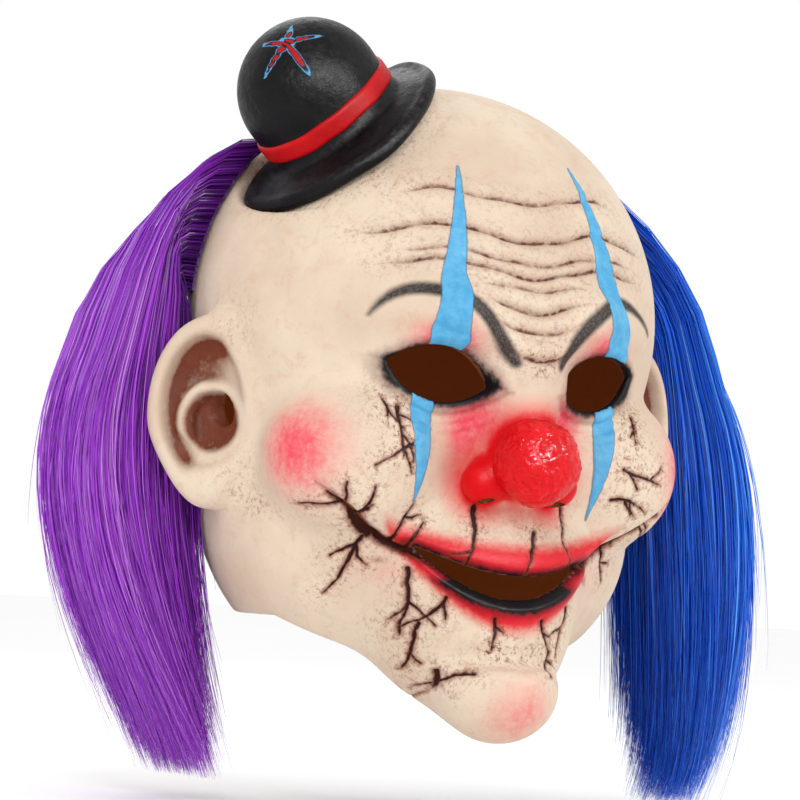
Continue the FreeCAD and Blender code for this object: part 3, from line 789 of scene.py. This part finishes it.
NOSE, NOSE_R = np.array([0, -103.0, -19.5]), 19.5
ico = bmesh.new()
bmesh.ops.create_icosphere(ico, subdivisions=6, radius=1)
unit = np.array([v.co[:] for v in ico.verts])
nose_faces = [[v.index for v in f.verts] for f in ico.faces]
ico.free()
unit /= np.linalg.norm(unit, axis=1)[:, None]
swell = 0.034 * lumps(unit, 0.05, 0.075) + 0.012 * lumps(unit, 0.08, 0.05)
swell += 0.03 * (np.sin(unit[:, 0] * 4 + 1) * np.sin(unit[:, 2] * 5) + 0.5 * np.sin(unit[:, 1] * 6))
nose = new_object("ball_nose", NOSE + unit * (NOSE_R * (0.97 + swell))[:, None], nose_faces)


def nose_material():
    n = Nodes("glossy_red_latex")
    blotch = n.noise(70, 5, 0.6)
    colour = n.mix(n.span(blotch, 0.35, 0.7), rgb(206, 2, 10), rgb(226, 14, 26))
    colour = n.mix(n.math("MULTIPLY", n.span(n.noise(420, 4, 0.7), 0.6, 0.74), 0.5), colour, rgb(160, 4, 12))
    normal = n.bump(n.noise(260, 3, 0.5, 0.5), 0.0022, 0.8)
    material = n.finish(colour, n.span(blotch, 0.3, 0.7, 0.12, 0.2), normal)
    n.shader.inputs["Specular IOR Level"].default_value = 0.18
    return material


wear(nose, nose_material())
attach(nose, "head")
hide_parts("nose_ball")


# ---------------------------------------------------------------- the hat
def spin(name, profile, segments, shape=None):
    """Turns (radius, height) points about the hat's axis; shape may move the points of each ring."""
    rings = []
    for a in np.linspace(0, 2 * math.pi, segments, endpoint=False):
        r, h = np.array(profile).T
        pts = np.stack([r * math.cos(a), r * math.sin(a), h], 1)
        rings.append(shape(pts, a) if shape else pts)
    points = np.concatenate(rings)
    m = len(profile)
    faces = [
        (i * m + j, ((i + 1) % segments) * m + j, ((i + 1) % segments) * m + j + 1, i * m + j + 1)
        for i in range(segments)
        for j in range(m - 1)
    ]
    obj = new_object(name, HAT + points @ HAT_FRAME.T, faces)
    merge = bmesh.new()
    merge.from_mesh(obj.data)
    bmesh.ops.remove_doubles(merge, verts=merge.verts, dist=0.00002)
    bmesh.ops.recalc_face_normals(merge, faces=merge.faces)
    merge.to_mesh(obj.data)
    merge.free()
    return obj


CROWN_R, TOP_R, CROWN_H, BRIM_R, DROP, EDGE = 32.5, 33.0, 53.0, 51.5, 6.5, 3.8
shoulder = CROWN_H - TOP_R


def wall_radius(h):
    return CROWN_R - (CROWN_R - TOP_R) * (h - 4) / (shoulder - 4)


profile = [(TOP_R * math.sin(t), shoulder + TOP_R * math.cos(t)) for t in np.linspace(0.001, math.pi / 2, 26)]
profile += [(wall_radius(h), h) for h in np.linspace(shoulder - 1.5, 6, 12)]
profile += [(CROWN_R + 4 * (1 - math.cos(t)), 6 - 6 * math.sin(t)) for t in np.linspace(0.15, math.pi / 2, 7)]
profile += [(r, -0.8 - 3.2 * ((r - 38) / 10) ** 1.3) for r in np.linspace(38.5, 46, 6)]
profile += [
    (BRIM_R - EDGE + EDGE * math.sin(t), -DROP + EDGE * math.cos(t))
    for t in np.linspace(0.35, math.pi - 0.1, 12)
]
profile += [(r, -9.9 + 1.2 * (46 - r) / 10) for r in np.linspace(45, 34, 8)]


def hat_shape(pts, a):
    """The brim rolls up at its sides and reaches further downhill, and the crown is not quite true."""
    out = pts.copy()
    radius = np.hypot(pts[:, 0], pts[:, 1])
    brim = smooth_step(radius, 36, 50)
    out[:, 0] -= 2.5 * brim
    out[:, 2] += brim * (1.6 * math.cos(2 * a) + 0.35 * math.sin(5 * a) + 0.2 * math.sin(9 * a + 1))
    out[:, :2] *= (1 + 0.006 * math.sin(3 * a + 0.6) + 0.004 * math.sin(7 * a))
    return out


hat = spin("bowler_hat", profile, 240, hat_shape)
local = (positions(hat.data) - HAT) @ HAT_FRAME
toward = np.array([math.sin(math.radians(-28)), -math.cos(math.radians(-28)), 0.25])
mark_dir = HAT_FRAME.T @ (toward / np.linalg.norm(toward) + HAT_FRAME[:, 2] * 0.9)
mark_dir /= np.linalg.norm(mark_dir)
mark_u = np.cross(mark_dir, [0, 0, 1.0])
mark_u /= np.linalg.norm(mark_u)
mark_v = np.cross(mark_u, mark_dir)
dome = local - [0, 0, shoulder]
mu, mv = dome @ mark_u, dome @ mark_v
on_dome = dome @ mark_dir > 10
angle = np.arctan2(mv, mu)
reach = np.hypot(mu, mv)
points_out = 0.5 + 0.5 * np.cos(5 * angle + 0.9 + 0.25 * np.sin(2 * angle))
tear = reach - (1.6 + (12 + 3 * np.cos(angle + 1)) * points_out ** 5)
tear = np.where(on_dome, tear * 0.5, 20)
store(hat.data, "tear", tear)
brim_wear, crown_wear = bump(np.hypot(local[:, 0], local[:, 1]) - 49, 1.8), 0.4 * bump(local[:, 2] - 2, 1.2)
store(hat.data, "edge", np.maximum(brim_wear, crown_wear))


def hat_material():
    n = Nodes("satin_black_latex")
    broad, scuff = n.noise(55, 4), n.noise(300, 6, 0.8, 0.8)
    colour = n.mix(n.span(broad, 0.3, 0.7), rgb(8, 8, 10), rgb(21, 20, 22))
    colour = n.mix(n.math("MULTIPLY", n.span(scuff, 0.6, 0.75), 0.32), colour, rgb(92, 88, 86))
    rubbed = n.math("MULTIPLY", n.attribute("edge"), n.span(scuff, 0.45, 0.7, 0.0, 0.5))
    colour = n.mix(rubbed, colour, rgb(88, 84, 82))
    jitter = n.math("MULTIPLY", n.math("SUBTRACT", n.noise(420, 3), 0.5), 1.8)
    tear = n.math("ADD", n.attribute("tear"), jitter)
    colour = n.mix(n.span(tear, 1.5, 1.1), colour, rgb(92, 160, 205))
    colour = n.mix(n.span(tear, 0.5, 0.1), colour, rgb(20, 18, 20))
    colour = n.mix(n.span(tear, -0.5, -1.2), colour, rgb(168, 24, 30))
    normal = n.bump(scuff, 0.0005, 0.5, n.bump(broad, 0.003, 0.5))
    normal = n.bump(n.span(tear, 1.8, 0.2), 0.0012, 0.8, normal)
    material = n.finish(colour, n.span(scuff, 0.35, 0.7, 0.3, 0.5), normal)
    n.shader.inputs["Specular IOR Level"].default_value = 0.1
    return material


wear(hat, hat_material())
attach(hat, "head")
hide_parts("hat_shell")

BAND_LOW, BAND_HIGH = 5.0, 14.0
band_profile = [(wall_radius(BAND_LOW) - 0.6, BAND_LOW)]
for t in np.linspace(0, 1, 12):
    h = BAND_LOW + (BAND_HIGH - BAND_LOW) * t
    band_profile.append((wall_radius(h) + 1.2 * (1 - abs(2 * t - 1) ** 6) ** 0.5 + 0.05, h))
band_profile.append((wall_radius(BAND_HIGH) - 0.6, BAND_HIGH))


def band_shape(pts, a):
    out = pts.copy()
    out[:, 2] += 0.35 * math.sin(3 * a) + 0.15 * math.sin(11 * a)
    out[:, :2] *= (1 + 0.006 * math.sin(3 * a + 0.6) + 0.004 * math.sin(7 * a))
    return out


band = spin("hat_band_ribbon", band_profile, 240, band_shape)


def band_material():
    n = Nodes("painted_red_band")
    scuff = n.noise(420, 6, 0.75)
    colour = n.mix(n.span(n.noise(60, 4), 0.35, 0.7), rgb(178, 4, 12), rgb(200, 16, 22))
    colour = n.mix(n.math("MULTIPLY", n.span(scuff, 0.62, 0.72), 0.6), colour, rgb(74, 10, 12))
    material = n.finish(colour, n.span(scuff, 0.3, 0.7, 0.34, 0.5), n.bump(scuff, 0.0005, 0.6))
    n.shader.inputs["Specular IOR Level"].default_value = 0.1
    return material


wear(band, band_material())
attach(band, "head")
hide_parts("hat_band")


# ---------------------------------------------------------------- the hair
# Profile of each tuft: height, outer and inner reach from the mid-plane.
TUFTS = {
    "purple": {
        "way": -1, "rows": (39.5, 59.5, 79.5), "pitch": 20.0, "hinge": 124.0,
        "shape": ((34, 140, 108), (8, 148, 102), (-20, 153, 100), (-62, 145, 98), (-85, 137, 94),
                  (-112, 124, 90), (-147, 104, 82), (-168, 92, 78)),
        "tip": -168,
        "colours": (rgb(62, 6, 98), rgb(156, 52, 204), rgb(212, 140, 238)),
        "ends": 0.62,
    },
    "blue": {
        "way": 1, "rows": (36.0, 51.0, 66.0), "pitch": 15.0, "hinge": 150.0,
        "shape": ((34, 166, 132), (8, 180, 132), (-20, 189, 134), (-62, 192, 138), (-112, 189, 143),
                  (-150, 180, 146), (-178, 166, 146)),
        "tip": -176,
        "colours": (rgb(2, 26, 112), rgb(8, 84, 214), rgb(74, 156, 246)),
        "ends": 0.75,
    },
}


def scalp_x(y, z_, lift=1.5):
    """How far out the scalp is at a height and a depth."""
    inside = (SKULL_R + lift) ** 2 - (y - SKULL[1]) ** 2 - (z_ - SKULL[2]) ** 2
    return np.sqrt(np.maximum(inside, 100))


# How far fibre ends differ in height, how far a tuft's end curves up at its sides, and the share of flyaways.
RAGGED, ROUNDED, LOOSE_SHARE = 104, 70, 0.16


def strands(tuft, row_y, count, seed):
    """Fibres of one lock: paths as an array of count x steps x 3, and how deep in the lock each lies."""
    r = np.random.default_rng(seed)
    steps = 19
    layer = r.random(count) ** 0.85
    across = r.normal(0, 0.42, count).clip(-1.15, 1.15)
    y_root = row_y + across * tuft["pitch"] * 0.5
    z_root = 54 + 66 * layer + r.normal(0, 2.0, count)
    x_root = scalp_x(y_root, z_root)
    heights, outer_x, inner_x = (np.array(c, dtype=float) for c in zip(*tuft["shape"]))
    outer_curve, inner_curve = np.polyfit(heights, outer_x, 4), np.polyfit(heights, inner_x, 4)
    depth = np.clip(layer + r.normal(0, 0.06, count), 0, 1)
    bottom = tuft["tip"] + RAGGED * r.random(count) ** 1.5 + ROUNDED * (depth - tuft["ends"]) ** 2
    t = np.linspace(0, 1, steps)
    path = np.empty((count, steps, 3))
    fall_from = 30.0
    bend = 0.36
    clump = np.sin(across * 9 + r.normal(0, 0.3, count)) * 1.6
    for k, s in enumerate(t):
        if s < bend:
            f = s / bend
            weights = ((1 - f) ** 3, 3 * f * (1 - f) ** 2, 3 * f * f * (1 - f), f ** 3)
            out_bend, in_bend = np.polyval(outer_curve, fall_from), np.polyval(inner_curve, fall_from)
            x_bend = out_bend * depth + in_bend * (1 - depth)
            xs = (x_root, x_root + 20 + 12 * layer, x_bend - 4 - 4 * layer, x_bend)
            zs = (z_root, z_root + 3, fall_from + 20 + 28 * layer, np.full(count, fall_from))
            path[:, k, 0] = sum(w * v for w, v in zip(weights, xs))
            path[:, k, 2] = sum(w * v for w, v in zip(weights, zs))
            path[:, k, 1] = y_root + f * clump * 0.3
        else:
            f = (s - bend) / (1 - bend)
            zz = fall_from + (bottom - fall_from) * f
            x_out, x_in = np.polyval(outer_curve, zz), np.polyval(inner_curve, zz)
            path[:, k, 0] = x_in + (x_out - x_in) * depth + clump * f
            path[:, k, 2] = zz
            path[:, k, 1] = y_root + clump * 0.3 + f * (across * 3.5 + clump)
    sway = r.normal(0, 1, (count, 2))
    waves = np.sin(t[None, :] * 7 + r.random((count, 1)) * 6.3)
    path[:, :, 0] += sway[:, :1] * 3.0 * (t ** 2)[None, :] + 1.1 * waves * t
    path[:, :, 1] += sway[:, 1:] * 3.0 * (t ** 2)[None, :] + 1.1 * waves * t
    loose = r.random(count) < LOOSE_SHARE
    path[loose, :, 0] += (r.normal(3, 4, loose.sum())[:, None] * (t ** 1.5)[None, :]).clip(-6, 10)
    clear = scalp_x(path[:, :, 1], path[:, :, 2], 2.0)
    path[:, :, 0] = np.where(path[:, :, 2] > 20, np.maximum(path[:, :, 0], clear), path[:, :, 0])
    path[:, :, 0] *= tuft["way"]
    return path, depth


def ribbon_mesh(name, paths, widths, facing_y):
    """One flat fibre along each path, tapering to its tip."""
    count, steps, _ = paths.shape
    along = np.gradient(paths, axis=1)
    along /= np.linalg.norm(along, axis=2, keepdims=True) + 1e-9
    r = np.random.default_rng(11)
    look = r.normal(0, 1, (count, 1, 3))
    look[:, :, 1] += facing_y
    flat = np.cross(along, look)
    flat /= np.linalg.norm(flat, axis=2, keepdims=True) + 1e-9
    taper = np.interp(np.linspace(0, 1, steps), (0, 0.7, 1), (1.0, 0.9, 0.15))
    half = widths[:, None, None] * taper[None, :, None] * 0.5
    points = np.stack([paths - flat * half, paths + flat * half], axis=2).reshape(-1, 3)
    first = (np.arange(count)[:, None] * steps + np.arange(steps - 1)[None, :]).ravel() * 2
    quads_ = np.stack([first, first + 1, first + 3, first + 2], 1)
    return new_object(name, points, quads_)


def hair_material(name, colours):
    dark, middle, light = colours
    n = Nodes(name)
    tone_and_shade = n.attribute("tone_and_shade")
    # The three colours are one dye, from painted shade to painted light.
    colour = n.mix(n.span(tone_and_shade, 0.0, 0.55), dark, middle)
    colour = n.mix(n.span(tone_and_shade, 0.55, 1.0), colour, light)
    material = n.finish(colour, n.span(n.noise(60, 3), 0.3, 0.7, 0.3, 0.42))
    n.shader.inputs["Specular IOR Level"].default_value = 0.13
    return material


def tape_material(name, colour_a, colour_b):
    n = Nodes(name)
    weave = n.noise(1400, 2, 0.5, 0.0, (1, 1, 0.3))
    return n.finish(n.mix(weave, colour_a, colour_b), 0.8, n.bump(weave, 0.0004, 0.7))


for colour, tuft in TUFTS.items():
    material = hair_material(f"{colour}_fibre", tuft["colours"])
    woven = tape_material(f"{colour}_weft", tuft["colours"][0], tuft["colours"][1])
    for number, row in enumerate(("front", "mid", "rear")):
        y = tuft["rows"][number]
        count = 5200
        paths, depth = strands(tuft, y, count, 20 + number + 10 * (colour == "blue"))
        r = np.random.default_rng(40 + number)
        fibre_widths = r.uniform(0.3, 0.62, count) * 1
        lock = ribbon_mesh(f"{colour}_hair_{row}", paths, fibre_widths, -1.2)
        steps = paths.shape[1]
        # Fibres deep in a lock and near its roots are darker: painted shade; the random spread is the fibres'
        # own tone.
        tone_and_shade = np.clip(0.25 + 0.45 * depth + r.normal(0, 0.2, count), 0, 1)
        root_shade = np.interp(np.linspace(0, 1, steps), (0, 0.12, 0.3, 1), (0.2, 0.55, 0.95, 1.0))
        store(lock.data, "tone_and_shade", np.repeat((tone_and_shade[:, None] * root_shade[None, :]).ravel(), 2))
        wear(lock, material)
        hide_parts(f"{colour}_hair_root_{row}", f"{colour}_hair_fall_{row}")
        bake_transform(lock)
        wear(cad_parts[f"{colour}_weft_tape_{row}"], woven)


# ---------------------------------------------------------------- floor, lights and camera
def floor():
    bottom = cad_box[0][2]
    bpy.ops.mesh.primitive_plane_add(size=12, location=(0, 0, bottom - 0.012))
    plane = bpy.context.object
    plane.name = "floor"
    n = Nodes("pale_floor")
    wear(plane, n.finish(n.mix(n.noise(2), rgb(248, 248, 248), rgb(252, 252, 252)), 0.9))


def area_light(name, place, target, size, power, highlight_only=False):
    """A round light. With highlight_only it shows in glossy surfaces and adds nothing else."""
    light = bpy.data.lights.new(name, "AREA")
    light.shape, light.size, light.energy = "DISK", size, power
    obj = bpy.data.objects.new(name, light)
    obj.visible_diffuse = not highlight_only
    obj.location = place
    obj.rotation_euler = (Vector(target) - Vector(place)).to_track_quat("-Z", "Y").to_euler()
    bpy.context.collection.objects.link(obj)


floor()
area_light("key", (-0.9, -1.3, 1.1), (0, 0, 0), 0.5, 8)
area_light("fill", (1.2, -1.1, 0.5), (0, 0, 0), 0.9, 3)
area_light("left glint", (-0.5, -1.4, 0.7), (0, 0, 0), 0.14, 48, True)
area_light("right glint", (0.45, -1.4, 0.5), (0, 0, 0), 0.14, 38, True)
area_light("rim", (0.4, 1.4, 1.2), (0, 0, 0), 0.9, 4)
world = bpy.data.worlds.new("studio")
world.use_nodes = True
world.node_tree.nodes["Background"].inputs["Color"].default_value = (1, 1, 1, 1)
world.node_tree.nodes["Background"].inputs["Strength"].default_value = 1.0
bpy.context.scene.world = world
bpy.context.scene.view_settings.view_transform = "Standard"

AZIMUTH, ELEVATION, ROLL, DISTANCE = math.radians(-27), math.radians(-2), math.radians(2.9), 2.0
camera = bpy.data.cameras.new("camera")
camera.sensor_width = 36
camera.lens = 36 * DISTANCE / (800 / 2.2 * MM)
eye_at = bpy.data.objects.new("camera", camera)
back = Vector((
    math.sin(AZIMUTH) * math.cos(ELEVATION),
    -math.cos(AZIMUTH) * math.cos(ELEVATION),
    math.sin(ELEVATION),
))
right = Vector((math.cos(AZIMUTH), math.sin(AZIMUTH), 0))
FOCUS = right * -0.014 + Vector((0, 0, 0.0077))
look = (-back).to_track_quat("-Z", "Y").to_matrix().to_4x4()
eye_at.matrix_world = Matrix.Translation(FOCUS + back * DISTANCE) @ look @ Matrix.Rotation(ROLL, 4, "Z")
bpy.context.collection.objects.link(eye_at)
bpy.context.scene.camera = eye_at
